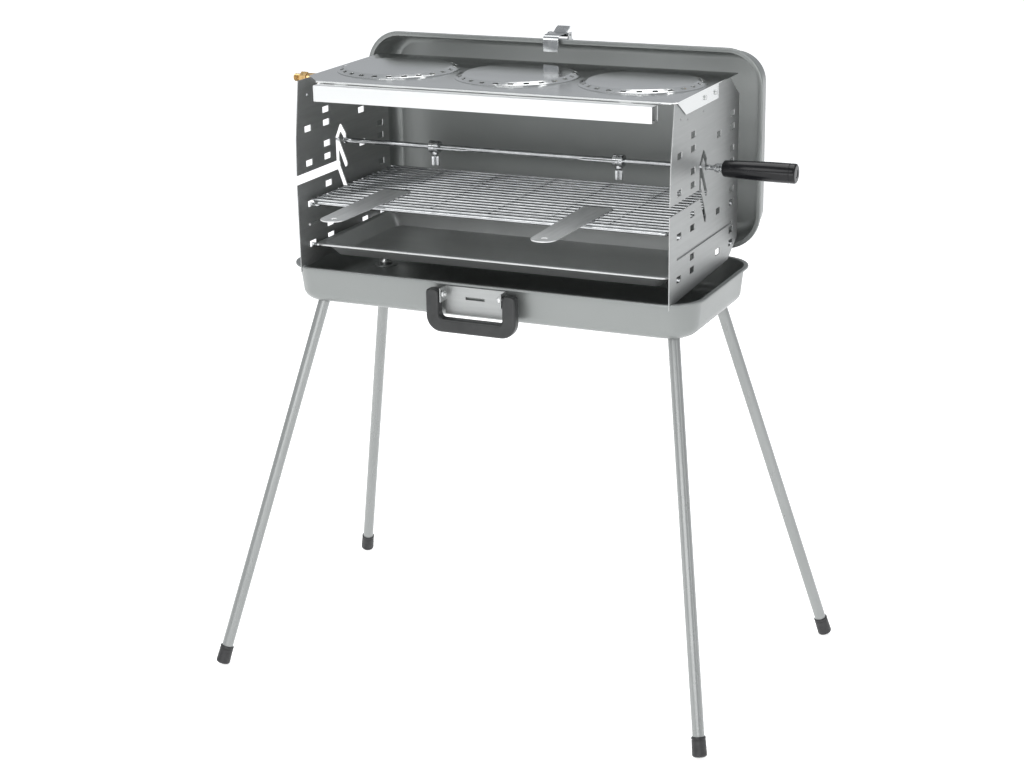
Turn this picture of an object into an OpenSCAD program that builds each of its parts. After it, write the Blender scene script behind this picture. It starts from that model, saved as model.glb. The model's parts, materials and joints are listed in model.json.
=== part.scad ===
// Folding case grill with a rotisserie spit: a tub-shaped base on four screw-in legs, an upright lid,
// two slotted side plates that carry spit, grate and drip tray, and a gas burner unit on top.
// Millimetres. Origin on the ground below the middle of the base, +X to the spit handle, -Y to the front.

/* [Case] */
// Length of both shells over their lips
case_w = 560; // [540:1:580]
// Depth of the base shell over its lips
base_d = 248; // [244:1:250]
// Height of the base rim above the ground
rim_z = 535; // [480:1:560]
// Depth of the base tub
base_h = 48; // [44:1:60]
// Height of the upright lid, which closes over the base
lid_d = 259; // [252:1:262]
// Depth of the lid tub
lid_h = 54; // [44:1:60]
// Corner radius of both shells
corner_r = 48; // [40:1:60]
// Sheet thickness of both shells
shell_t = 1; // [0.8:0.1:1.5]
// Width of the lips that run round both rims
lip_w = 5; // [4:0.5:6]
// Distance of the carry handle and the latch from the middle, along the case
handle_x = -6; // [-20:1:20]

/* [Legs] */
// Outside diameter of a leg tube
leg_dia = 15; // [14:0.5:17]
// Outside diameter of a foot cap
cap_dia = 18.5; // [18:0.5:22]
// Height of a foot cap
cap_h = 25; // [20:1:32]
// Distance of a leg's top from the middle of the case, along the case
leg_top_x = 241; // [220:1:245]
// Distance of a leg's top from the middle of the case, front to back
leg_top_y = 84; // [75:1:88]

/* [Rack] */
// Distance of each side plate from the middle
plate_x = 250; // [240:1:252]
// Sheet thickness of the side plates
plate_t = 1.2; // [1:0.1:1.5]
// Height of the top edge of the side plates above the ground
plate_top = 772.7; // [772:0.1:773]
// Height of the spit above the ground
spit_z = 677; // [676:0.5:679]
// Diameter of the spit rod
rod_dia = 6.4; // [6:0.1:7]
// Length of the holes in the side plates, front to back
hole_w = 16; // [12:0.5:18]
// Height of the holes in the side plates
hole_h = 8; // [7.5:0.1:9]

/* [Burner] */
// Radius of a burner cap at its foot
cap_r = 79; // [76:1:80]
// Distance between two burner caps
burner_pitch = 167; // [163:1:168]
// Number of slots round a burner cap
cap_slots = 24; // [18:1:30]

/* [Grate and tray] */
// Number of long wires in the grate
grate_wires = 17; // [11:1:21]
// Depth of the drip tray
tray_h = 18; // [12:1:20]

/* [Hidden] */
$fn = 48;

fit = 0.05;            // radial clearance of a shaft or a pin in its bore
floor_z = rim_z - base_h;
edge_r = 14;           // radius between wall and floor of a shell
wall_taper = 4;        // how much a wall leans in from rim to floor

// Feet, as where each leg axis meets the ground: front left, front right, rear left, rear right
FOOT = [[-347, -221], [328, -219], [-356, 203], [370, 177]];
SIDE = [[-1, -1], [1, -1], [-1, 1], [1, 1]];
foot_r = 3;            // rounding of the cap's lower edge
stud_r = 4;
tube_wall = 1;
bush_r = 7.4;

lid_y = 127;           // plane of the upright lid's rim
lid_gap = 8;           // from base rim up to the lid
lid_z = rim_z + lid_gap + lid_d / 2;
hinge_x = 150;
hinge_y = lid_y + 5.5;
hinge_z = rim_z + 3;
leaf_w = 50;
leaf_t = 1.2;
knuckle_r = 3.2;
pin_r = 1.5;

plate_front = 126.5;
plate_rear = 123;
COLUMNS = [-94, -47, 47, 98];
ROWS = [560, 612.5, 665, 709];
pair_step = 16.8;      // to the extra hole over each hole of the second and fourth column
rail_r = 2.5;
rail_x = plate_x - 10.5;
grate_row = 1;
tray_row = 0;

sheet_z = 773;
sheet_t = 1.2;
sheet_front = -112;
sheet_rear = 112;
cap_y = 2;
cap_rise = 3.5;        // from the underside of a cap's foot to that of its flat top
cap_foot = 5;          // width of the flat ring a cap stands on
pipe_y = -56;
pipe_z = 766.5;
pipe_r = 4.5;
head_r = 46;

grate_wire_r = 1.6;
grate_frame_r = 2.5;
grate_front = -104;
grate_rear = 112;
grate_x = plate_x - 10;
rail_top = [for (z = ROWS) z - hole_h / 2 + 2 * rail_r];
grate_z = rail_top[grate_row] + grate_frame_r + 0.3;
bars_z = grate_z + grate_frame_r + grate_wire_r;
tray_z = rail_top[tray_row] + 0.3;

fork_x = 127;
fork_shift = 10;       // both forks sit this much nearer to the handle
fork_w = 14;
collar_r = 8;
prong_y = 9;
screw_r = 2.5;

// Places a shape drawn along +Z from a, so that its own +Z runs from a to b
module along(a, b) {
    d = b - a;
    translate(a)
        rotate([0, acos(d.z / norm(d)), atan2(d.y, d.x)])
            children();
}

// Straight wire from a to b
module wire(a, b, r) {
    along(a, b) cylinder(h = norm(b - a), r = r, $fn = 16);
}

// Wire through all the points, with a ball at every bend
module bent_wire(points, r) {
    for (i = [0 : len(points) - 2]) wire(points[i], points[i + 1], r);
    for (i = [1 : len(points) - 2]) translate(points[i]) sphere(r = r, $fn = 16);
}

// Flat bar with round ends between two points of a plane
module bar_2d(a, b, w) {
    d = b - a;
    translate(a) circle(d = w);
    translate(b) circle(d = w);
    translate(a) rotate(atan2(d.y, d.x)) translate([0, -w / 2]) square([norm(d), w]);
}

// Slot of width w through all the points, with a slightly wider round end or bend at each
module slot_2d(points, w) {
    for (p = points) translate(p) circle(d = w + 0.04);
    for (i = [0 : len(points) - 2]) {
        d = points[i + 1] - points[i];
        translate(points[i]) rotate(atan2(d.y, d.x)) translate([0, -w / 2]) square([norm(d), w]);
    }
}

// Draws a shape of the Y-Z plane as a sheet that starts at x and is t thick towards +X
module side_sheet(x, t) {
    translate([x, 0, 0]) rotate([90, 0, 90]) linear_extrude(t) children();
}

function arc(cx, cy, r, from, to, n) =
    [for (i = [0 : n]) let (a = from + (to - from) * i / n) [cx + r * cos(a), cy + r * sin(a)]];

// Solid of a shell: rim at z = over, floor at z = -h, w and d over its walls
module tub(w, d, h, r, er, over) {
    profile = concat([[0, over], [r, over], [r, 0]],
                     arc(r - wall_taper - er, er - h, er, 0, -90, 6), [[0, -h]]);
    hull()
        for (sx = [-1, 1], sy = [-1, 1])
            translate([sx * (w / 2 - r), sy * (d / 2 - r), 0])
                rotate_extrude() polygon(profile);
}

module rounded_plate(w, d, r, t) {
    hull()
        for (sx = [-1, 1], sy = [-1, 1])
            translate([sx * (w / 2 - r), sy * (d / 2 - r), 0]) cylinder(h = t, r = r);
}

// Pressed shell with an outward lip round its rim, w and d over the lip, rim at z = 0
module shell(w, d, h) {
    ww = w - 2 * lip_w;
    wd = d - 2 * lip_w;
    difference() {
        union() {
            tub(ww, wd, h, corner_r - lip_w, edge_r, 0);
            translate([0, 0, -shell_t]) rounded_plate(w, d, corner_r, shell_t);
        }
        tub(ww - 2 * shell_t, wd - 2 * shell_t, h - shell_t,
            corner_r - lip_w - shell_t, edge_r - shell_t, 1);
    }
}

function leg_top(i) = [SIDE[i].x * leg_top_x, SIDE[i].y * leg_top_y, floor_z];
function leg_lean(i) = atan2(norm(FOOT[i] - [leg_top(i).x, leg_top(i).y]), floor_z);
// The cap's round lower edge just touches the ground
function foot_end(i) = [FOOT[i].x, FOOT[i].y,
    foot_r * (1 - cos(leg_lean(i))) + (cap_dia / 2 - foot_r) * sin(leg_lean(i))];

// Places a shape on leg i, z = 0 at the underside of the base and +Z down the leg
module on_leg(i) {
    along(leg_top(i), foot_end(i)) children();
}

function leg_len(i) = norm(foot_end(i) - leg_top(i));
tube_start = bush_r * 0.4 + 1;     // keeps the leaning tube end clear of the base

module base_shell() {
    color("lightslategray")
        difference() {
            translate([0, 0, rim_z]) shell(case_w, base_d, base_h);
            for (i = [0 : 3])
                on_leg(i) translate([0, 0, -30]) cylinder(h = 50, r = bush_r + fit);
        }
}

// Threaded bushes set through the floor, each with a dome head inside
module leg_bushes() {
    color("silver")
        for (i = [0 : 3])
            on_leg(i)
                difference() {
                    union() {
                        translate([0, 0, -9]) cylinder(h = 9 + tube_start, r = bush_r);
                        translate([0, 0, -12]) cylinder(h = 5, r = 5);
                    }
                    translate([0, 0, -7]) cylinder(h = 30, r = stud_r + fit);
                }
}

module leg_stud(i) {
    color("gainsboro")
        on_leg(i) {
            translate([0, 0, -6]) cylinder(h = tube_start + 7, r = stud_r);
            translate([0, 0, tube_start + 0.1]) cylinder(h = 18, r = leg_dia / 2 - tube_wall);
        }
}

module leg_tube(i) {
    color("silver")
        on_leg(i)
            translate([0, 0, tube_start + 0.1])
                difference() {
                    cylinder(h = leg_len(i) - tube_start - 3.1, r = leg_dia / 2);
                    translate([0, 0, -1])
                        cylinder(h = leg_len(i), r = leg_dia / 2 - tube_wall);
                }
}

module leg_cap(i) {
    r = cap_dia / 2;
    wall = concat([[0, 0]], arc(r - foot_r, foot_r, foot_r, -90, 0, 6),
                  [[r - 0.6, cap_h - 1], [r - 1.4, cap_h], [leg_dia / 2, cap_h],
                   [leg_dia / 2, 3], [0, 3]]);
    color("dimgray")
        along(foot_end(i), leg_top(i)) rotate_extrude() polygon(wall);
}

// Carry handle and its bracket on the front wall
handle_w = 122;
arm_w = 18;
handle_y = -131.5;
handle_z = 522;
handle_drop = 48;
handle_t = 14;         // thickness of the handle, front to back
grip_h = 18;           // height of its grip
bracket_w = handle_w - 2 * arm_w - 2;
ear_t = 1.5;

module handle_bracket() {
    wall_y = -base_d / 2 + lip_w;
    back_t = 1.2;
    color("gainsboro")
        translate([handle_x, 0, 0])
            difference() {
                union() {
                    translate([-bracket_w / 2, wall_y - back_t, 494]) cube([bracket_w, back_t, 36]);
                    for (s = [-1, 1])
                        translate([s * (bracket_w / 2 - ear_t / 2) - ear_t / 2, handle_y - 5, 512])
                            cube([ear_t, wall_y - handle_y + 5, 18]);
                }
                translate([-14, wall_y - 3, 514]) cube([26, 6, 3.5]);
                translate([-bracket_w, handle_y, handle_z]) rotate([0, 90, 0])
                    cylinder(h = 2 * bracket_w, r = 2.5 + fit);
            }
}

module handle_pivots() {
    color("silver")
        for (s = [-1, 1])
            translate([handle_x + s * (bracket_w / 2 + 3), handle_y, handle_z])
                rotate([0, s * 90, 0]) {
                    translate([0, 0, -10]) cylinder(h = 19, r = 2.5);
                    translate([0, 0, -8]) cylinder(h = 3, r = 4.5);
                }
}

module carry_handle() {
    outer = handle_w / 2;
    inner = outer - arm_w;
    color("dimgray")
        translate([handle_x, 0, handle_z])
            difference() {
                translate([0, handle_y + handle_t / 2, 0]) rotate([90, 0, 0])
                    linear_extrude(handle_t)
                        difference() {
                            union() {
                                translate([-outer, 20 - handle_drop]) square([2 * outer, handle_drop - 14]);
                                bar_2d([20 - outer, 20 - handle_drop], [outer - 20, 20 - handle_drop], 40);
                            }
                            translate([-inner, grip_h + 6 - handle_drop]) square([2 * inner, handle_drop]);
                            bar_2d([6 - inner, grip_h + 6 - handle_drop],
                                   [inner - 6, grip_h + 6 - handle_drop], 12);
                        }
                for (s = [-1, 1])
                    translate([s * inner - s, handle_y, 0]) rotate([0, s * 90, 0])
                        cylinder(h = 13, r = 2.5 + fit);
            }
}

// Two butt hinges at the back: knuckles share the axis at hinge_y, hinge_z
module knuckle(x, w) {
    translate([x, hinge_y, hinge_z]) rotate([0, 90, 0])
        difference() {
            cylinder(h = w, r = knuckle_r);
            translate([0, 0, -1]) cylinder(h = w + 2, r = pin_r + fit);
        }
}

module base_hinge_leaves() {
    wall_y = base_d / 2 - lip_w;
    color("gainsboro")
        for (s = [-1, 1]) {
            x = s * hinge_x - leaf_w / 2;
            knuckle(x, leaf_w / 3 - 0.3);
            knuckle(x + leaf_w * 2 / 3 + 0.3, leaf_w / 3 - 0.3);
            for (dx = [0, leaf_w * 2 / 3 + 0.3])
                translate([x + dx, hinge_y - leaf_t / 2, rim_z - 4])
                    cube([leaf_w / 3 - 0.3, leaf_t, hinge_z - rim_z + 2]);
            translate([x, wall_y + 0.05, rim_z - 4]) cube([leaf_w, hinge_y - wall_y, leaf_t]);
            translate([x, wall_y + 0.05, rim_z - 30]) cube([leaf_w, leaf_t, 27]);
        }
}

module lid_hinge_leaves() {
    top = rim_z + lid_gap + lip_w;
    color("gainsboro")
        for (s = [-1, 1]) {
            x = s * hinge_x - leaf_w / 2;
            knuckle(x + leaf_w / 3, leaf_w / 3);
            translate([x + leaf_w / 3, hinge_y - leaf_t / 2 + 0.6, hinge_z + 2])
                cube([leaf_w / 3, leaf_t, top - hinge_z - 2.1]);
            translate([x, hinge_y - leaf_t / 2 + 0.6, top - leaf_t - 0.1]) cube([leaf_w, 28, leaf_t]);
        }
}

module hinge_pins() {
    color("silver")
        for (s = [-1, 1])
            translate([s * hinge_x - leaf_w / 2 - 1, hinge_y, hinge_z]) rotate([0, 90, 0])
                cylinder(h = leaf_w + 2, r = pin_r);
}

module lid_shell() {
    color("lightslategray")
        translate([0, lid_y, lid_z]) rotate([90, 0, 0]) shell(case_w, lid_d, lid_h);
}

// Latch on the upright lid's top wall: bracket, pin and the hook that closes over the base lip
latch_y = lid_y + 24;
latch_top = lid_z + lid_d / 2 - lip_w;
latch_z = latch_top + 8;
latch_w = 22;

module latch_bracket() {
    color("gainsboro")
        translate([handle_x - latch_w / 2 - 4, latch_y - 10, latch_top + 0.1])
            difference() {
                union() {
                    cube([latch_w + 8, 20, 1.2]);
                    for (dx = [0, latch_w + 6.6])
                        translate([dx, 4, 0]) cube([1.4, 12, 11]);
                }
                translate([-1, 10, 7.9]) rotate([0, 90, 0]) cylinder(h = latch_w + 10, r = pin_r + fit);
            }
}

module latch_pin() {
    color("silver")
        translate([handle_x - latch_w / 2 - 5, latch_y, latch_z]) rotate([0, 90, 0])
            cylinder(h = latch_w + 10, r = pin_r);
}

module latch_hook() {
    reach = lid_y - 7 - latch_y;       // from the pin to the hook's front, towards -Y
    t = 1.5;
    color("whitesmoke")
        translate([handle_x, latch_y, latch_z])
            difference() {
                union() {
                    rotate([0, 90, 0]) translate([0, 0, -latch_w / 2]) cylinder(h = latch_w, r = 3);
                    translate([-latch_w / 2, 0, 0])
                        side_sheet(0, latch_w) {
                            translate([reach + 8, 3 - t]) square([-reach - 8, t]);
                            difference() {
                                translate([reach + 8, -5]) circle(r = 8);
                                translate([reach + 8, -5]) circle(r = 8 - t);
                                translate([reach + 8, -20]) square([30, 40]);
                                translate([reach - 1, -20]) square([20, 15]);
                            }
                            translate([reach, -19]) square([t, 14.1]);
                            translate([2, 1]) rotate(28) square([16, t]);
                        }
                }
                translate([-latch_w, 0, 0]) rotate([0, 90, 0])
                    cylinder(h = 2 * latch_w, r = pin_r + fit);
            }
}

// Side plate, as its outline in the Y-Z plane
slot_z = 648;
junction = [-20, slot_z];
seat = [0, spit_z];

module plate_2d() {
    difference() {
        polygon([[-plate_front, 529], [-plate_front + 2, 529], [-plate_front + 2, rim_z + 1.2],
                 [-112, rim_z + 1.2], [-112, rim_z - 1.5], [-108, rim_z - 1.5], [88, rim_z + 5],
                 [plate_rear, 562], [plate_rear, 746], [86, plate_top], [-112, plate_top],
                 [-plate_front + 3, 700], [-plate_front, 640]]);
        for (c = [0 : len(COLUMNS) - 1], z = ROWS) {
            translate([COLUMNS[c], z]) square([hole_w, hole_h], center = true);
            if (c % 2 == 1)
                translate([COLUMNS[c], z + pair_step]) square([hole_w, hole_h], center = true);
        }
        // entry slot from the front edge, its two branches and the hooked seat of the spit
        bar_2d([-plate_front - 20, slot_z], junction, 12);
        slot_2d([junction, [-1, 613]], 8);
        slot_2d([junction, [-20, 684], [-10, 696], [0, 684], seat], 8);
        slot_2d([[-19, 680], [1, 645]], 8);
    }
}

bead_z = 586;
bead_y = 101;

// Plate at the side s (-1 left, 1 right), with a rolled bead that stands inwards
module side_plate(s) {
    inner = s * (plate_x - plate_t / 2);
    difference() {
        union() {
            side_sheet(s * plate_x - plate_t / 2, plate_t) plate_2d();
            translate([inner, -bead_y, bead_z]) rotate([-90, 0, 0]) cylinder(h = 2 * bead_y, r = 2, $fn = 24);
        }
        translate([inner + s * plate_t, -bead_y, bead_z]) rotate([-90, 0, 0])
            cylinder(h = 2 * bead_y, r = 1.8, $fn = 24);
        for (p = [[-92, 752], [-68, 748], [-12, 748]])
            translate([s * plate_x, p.x, p.y]) rotate([0, 90, 0])
                cylinder(h = 10, r = 1.6, center = true, $fn = 24);
        if (s < 0)      // open notch for the gas pipe
            translate([-plate_x - 5, pipe_y - 9, pipe_z - 9]) cube([10, 18, 30]);
    }
}

module side_plate_left() { color("silver") side_plate(-1); }
module side_plate_right() { color("silver") side_plate(1); }

// Wire rail that hangs in the first and last hole of a row
module rail(s, row) {
    z = rail_top[row] - rail_r;
    y0 = COLUMNS[0];
    y1 = COLUMNS[3];
    out = s * (plate_x + 1.6);
    color("silver")
        bent_wire([[out, y0, z], [s * rail_x, y0, z], [s * rail_x, y1, z], [out, y1, z]], rail_r - 0.05);
}

module drip_tray() {
    slope = 14;
    rim = 7;
    x0 = plate_x - 7.5;
    y0 = -103;
    y1 = 104;
    t = 1;
    module step(inset, h, z)
        translate([inset - x0, y0 + inset, tray_z + z]) cube([2 * (x0 - inset), y1 - y0 - 2 * inset, h]);
    module pan(inset, z)
        hull() {
            step(rim + inset, 0.01, z + 1);
            step(rim + slope + inset, 0.01, z + 1 - tray_h);
        }
    color("gray")
        difference() {
            union() {
                step(0, t, 0);
                pan(0, 0);
            }
            hull() {
                step(rim + t, 0.01, 1.2);
                step(rim + slope + t, 0.01, 1.2 + t - tray_h);
            }
        }
}

module grate_frame() {
    cross = [for (i = [-2 : 2]) i * 80];
    color("silver") {
        bent_wire([[-grate_x, grate_front, grate_z], [grate_x, grate_front, grate_z],
                   [grate_x, grate_rear, grate_z], [-grate_x, grate_rear, grate_z],
                   [-grate_x, grate_front, grate_z], [grate_x, grate_front, grate_z]], grate_frame_r);
        for (x = cross)
            wire([x, grate_front, grate_z], [x, grate_rear, grate_z], grate_frame_r - 0.7);
    }
}

module grate_bars() {
    color("silver")
        for (i = [0 : grate_wires - 1]) {
            y = grate_front + (grate_rear - grate_front) * i / (grate_wires - 1);
            wire([-grate_x - 2, y, bars_z], [grate_x + 2, y, bars_z], grate_wire_r);
        }
}

// Flat lifting tongue with a round end and a hole, laid over the bars and hooked at its back edge
module tongue(x) {
    back = -32;
    front = -198;
    w = 36;
    z = bars_z + grate_wire_r;
    color("gainsboro")
        translate([x, 0, z])
            linear_extrude(1.4)
                difference() {
                    polygon(concat([[-w / 2 - 2, back]], arc(0, front, w / 2 - 2, 180, 360, 24),
                                   [[w / 2 + 2, back]]));
                    translate([0, front]) circle(r = 4);
                }
}

module spit_rod() {
    color("silver")
        translate([-plate_x - 16, 0, spit_z]) rotate([0, 90, 0])
            rotate_extrude()
                polygon([[0, 0], [0.6, 0], [rod_dia / 2, 9], [rod_dia / 2, 2 * plate_x + 60],
                         [0, 2 * plate_x + 60]]);
}

module spit_ferrule() {
    color("gainsboro")
        translate([plate_x + 12, 0, spit_z]) rotate([0, 90, 0])
            rotate_extrude()
                polygon([[rod_dia / 2, 0], [5, 0.6], [5.6, 3], [5.6, 10.2], [rod_dia / 2, 10.2]]);
}

module spit_handle() {
    r = 12.2;
    len = 92;
    bore = rod_dia / 2;
    shape = concat([[bore, 0], [8.6, 0], [10.2, 1.8], [10.8, 14], [r, 60]],
                   arc(r - 2.5, len - 2.5, 2.5, 0, 90, 5),
                   [[0, len], [0, 22], [bore, 22]]);
    color("dimgray")
        translate([plate_x + 22.5, 0, spit_z]) rotate([0, 90, 0]) rotate_extrude() polygon(shape);
}

// Meat fork: collar on the rod, cross bar and two prongs that point to the middle; s is its side
module fork(s) {
    color("whitesmoke")
        translate([s * fork_x + fork_shift, 0, spit_z])
            difference() {
                union() {
                    rotate([0, 90, 0]) cylinder(h = fork_w, r = collar_r, center = true);
                    translate([0, 0, -collar_r - 2]) cylinder(h = 6, r = 4.6);
                    translate([-2, -prong_y - 1.8, -1.8]) cube([4, 2 * prong_y + 3.6, 3.6]);
                    for (y = [-prong_y, prong_y])
                        translate([0, y, 0]) rotate([0, -s * 90, 0]) {
                            cylinder(h = 44, r = 1.7);
                            translate([0, 0, 44]) cylinder(h = 8, r1 = 1.7, r2 = 0.4);
                        }
                }
                rotate([0, 90, 0]) cylinder(h = 2 * fork_w, r = rod_dia / 2 + fit, center = true);
                translate([0, 0, -20]) cylinder(h = 20, r = screw_r + fit);
            }
}

// Clamping screw of a fork, hanging below the collar with a knurled head
module fork_screw(s) {
    color("silver")
        translate([s * fork_x + fork_shift, 0, spit_z - rod_dia / 2 - 0.2]) rotate([180, 0, 0]) {
            cylinder(h = 10, r = screw_r);
            translate([0, 0, 8.2])
                difference() {
                    cylinder(h = 13, r = 5);
                    for (a = [0 : 30 : 330])
                        rotate(a) translate([5.3, 0, -1]) cylinder(h = 15, r = 0.7, $fn = 16);
                }
        }
}

function burner_at(i) = [(i - 1) * burner_pitch, cap_y, sheet_z + sheet_t];

// Top sheet of the burner unit, with an end flange down the outside of each side plate
module burner_sheet() {
    half = plate_x + plate_t / 2 + 0.4;
    flange_t = 1.2;
    end = half + flange_t;
    color("gainsboro")
        difference() {
            union() {
                translate([0, 0, sheet_z])
                    linear_extrude(sheet_t)
                        polygon([[-end, -80], [-224, sheet_front], [end - 4, sheet_front],
                                 [end, sheet_front + 4], [end, sheet_rear], [-end, sheet_rear]]);
                for (s = [-1, 1])
                    side_sheet(s > 0 ? half : -end, flange_t)
                        polygon([[s > 0 ? -108 : -80, sheet_z + 0.5], [-78, sheet_z - 18],
                                 [38, sheet_z - 18], [38, sheet_z + 0.5]]);
                translate([-224, sheet_front, sheet_z - 0.9]) cube([470, 1.2, 1]);
            }
            for (i = [0 : 2]) translate(burner_at(i) - [0, 0, 10]) cylinder(h = 20, r = cap_r - cap_foot);
            translate([-plate_x - 5, pipe_y - 9, pipe_z - 30]) cube([10, 18, 35.5]);
            for (p = [[-12, sheet_z - 9], [26, sheet_z - 9]])
                translate([0, p.x, p.y]) rotate([0, 90, 0])
                    cylinder(h = 600, r = 1.6, center = true, $fn = 24);
        }
}

// Raised cap with a bevelled, slotted ring round a flat top
module burner_cap(i) {
    t = 0.8;
    top_r = cap_r - 10;
    color("gainsboro")
        translate(burner_at(i) + [0, 0, 0.05])
            difference() {
                rotate_extrude($fn = 96)
                    polygon([[cap_r - cap_foot, 0], [cap_r, 0], [cap_r, t], [cap_r - 2.5, t],
                             [top_r, cap_rise], [top_r - 1.5, cap_rise + t], [0, cap_rise + t],
                             [0, cap_rise], [top_r - 2, cap_rise], [cap_r - cap_foot, t]]);
                for (k = [0 : cap_slots - 1])
                    rotate(k * 360 / cap_slots)
                        translate([cap_r - 6, 0, t + 0.1]) rotate(14)
                            translate([-2.5, -3.7, 0]) cube([5, 7.4, 5]);
            }
}

// Burner head under a cap, with rings of flame ports in its lower face
module burner_head(i) {
    h = 17;
    color("silver")
        translate(burner_at(i) - [0, 0, sheet_t + 2 + h])
            difference() {
                rotate_extrude()
                    polygon([[0, 0], [head_r - 3, 0], [head_r, 3], [head_r, h], [0, h],
                             [0, h - 1.5], [head_r - 1.5, h - 1.5], [head_r - 1.5, 3.5],
                             [head_r - 3.5, 1.5], [0, 1.5]]);
                for (ring = [1 : 3], k = [0 : 6 * ring - 1])
                    rotate(k * 60 / ring) translate([ring * 12, 0, -1]) cylinder(h = 3.5, r = 1.5, $fn = 16);
                translate([0, -head_r - 2, h - 6]) rotate([-90, 0, 0]) cylinder(h = 10, r = 3 + fit);
            }
}

module gas_manifold() {
    x0 = -plate_x - 4;
    x1 = burner_pitch + 14;
    color("silver")
        translate([x0, pipe_y, pipe_z]) rotate([0, 90, 0])
            difference() {
                cylinder(h = x1 - x0, r = pipe_r);
                translate([0, 0, -1]) cylinder(h = x1 - x0 - 1, r = pipe_r - 1);
            }
}

// Brass jets from the manifold into the three heads
module injectors() {
    jet_z = sheet_z - 2 - 6;
    color("goldenrod")
        for (i = [0 : 2])
            translate([burner_at(i).x, pipe_y + pipe_r - 1, jet_z]) rotate([-90, 0, 0]) {
                cylinder(h = 18, r = 3);
                cylinder(h = 7, r = 5, $fn = 6);
            }
}

inlet_tip = plate_x + 37;
neck_r = 4.8;          // where the loose nut sits, behind the thread

module inlet_nipple() {
    color("goldenrod")
        translate([-inlet_tip, pipe_y, pipe_z]) rotate([0, 90, 0])
            difference() {
                union() {
                    cylinder(h = 9.5, r = 5);
                    cylinder(h = inlet_tip - plate_x - 4, r = neck_r);
                    translate([0, 0, 19.5]) cylinder(h = inlet_tip - plate_x - 23.5, r = 6.5);
                }
                translate([0, 0, -1]) cylinder(h = 60, r = 2);
            }
}

module inlet_nut() {
    color("goldenrod")
        translate([10 - inlet_tip, pipe_y, pipe_z]) rotate([0, 90, 0])
            difference() {
                cylinder(h = 9, r = 8, $fn = 6);
                translate([0, 0, -1]) cylinder(h = 20, r = neck_r + fit);
            }
}

rail_y = -127;

// Bright rail along the front, a square tube open at both ends
module front_rail() {
    x0 = -220;
    x1 = 228;
    t = 1.2;
    color("white")
        translate([x0, rail_y, sheet_z - 22])
            difference() {
                cube([x1 - x0, 20, 20]);
                translate([-1, t, t]) cube([x1 - x0 + 2, 20 - 2 * t, 20 - 2 * t]);
            }
}

module rail_spacers() {
    color("silver")
        for (x = [-190, 190])
            translate([x, sheet_front + 3, sheet_z - 3.3]) {
                translate([-8, -1.7, 1.3]) cube([16, 4.7, 2]);
                translate([0, -0.6, -1.9]) cylinder(h = 4, r = 1.2);
            }
}

module flange_screws() {
    color("gainsboro")
        for (s = [-1, 1], y = [-12, 26])
            if (s > 0 || y > 0)
                translate([s * (plate_x + plate_t / 2 + 1.65), y, sheet_z - 9])
                    rotate([0, s * 90, 0]) {
                        cylinder(h = 2, r = 3);
                        translate([0, 0, -1.15]) cylinder(h = 2, r = 1.5);
                    }
}

base_shell();
leg_bushes();
handle_bracket();
handle_pivots();
base_hinge_leaves();
leg_tube(0);  // leg_tube_fl
leg_tube(1);  // leg_tube_fr
leg_tube(2);  // leg_tube_rl
leg_tube(3);  // leg_tube_rr
leg_stud(0);  // leg_stud_fl
leg_stud(1);  // leg_stud_fr
leg_stud(2);  // leg_stud_rl
leg_stud(3);  // leg_stud_rr
leg_cap(0);  // leg_cap_fl
leg_cap(1);  // leg_cap_fr
leg_cap(2);  // leg_cap_rl
leg_cap(3);  // leg_cap_rr
carry_handle();
lid_shell();
lid_hinge_leaves();
hinge_pins();
latch_bracket();
latch_pin();
latch_hook();
side_plate_left();
side_plate_right();
rail(-1, grate_row);  // grate_rail_left
rail(1, grate_row);  // grate_rail_right
rail(-1, tray_row);  // tray_rail_left
rail(1, tray_row);  // tray_rail_right
drip_tray();
grate_frame();
grate_bars();
tongue(-158);  // grate_handle_left
tongue(122);  // grate_handle_right
spit_rod();
spit_ferrule();
spit_handle();
fork(-1);  // fork_left
fork(1);  // fork_right
fork_screw(-1);  // fork_screw_left
fork_screw(1);  // fork_screw_right
burner_sheet();
burner_cap(0);  // burner_cap_left
burner_cap(1);  // burner_cap_middle
burner_cap(2);  // burner_cap_right
burner_head(0);  // burner_head_left
burner_head(1);  // burner_head_middle
burner_head(2);  // burner_head_right
gas_manifold();
injectors();
inlet_nipple();
inlet_nut();
front_rail();
rail_spacers();
flange_screws();
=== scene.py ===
import json
import math

import bmesh
import bpy
from mathutils import Matrix, Vector


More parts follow.
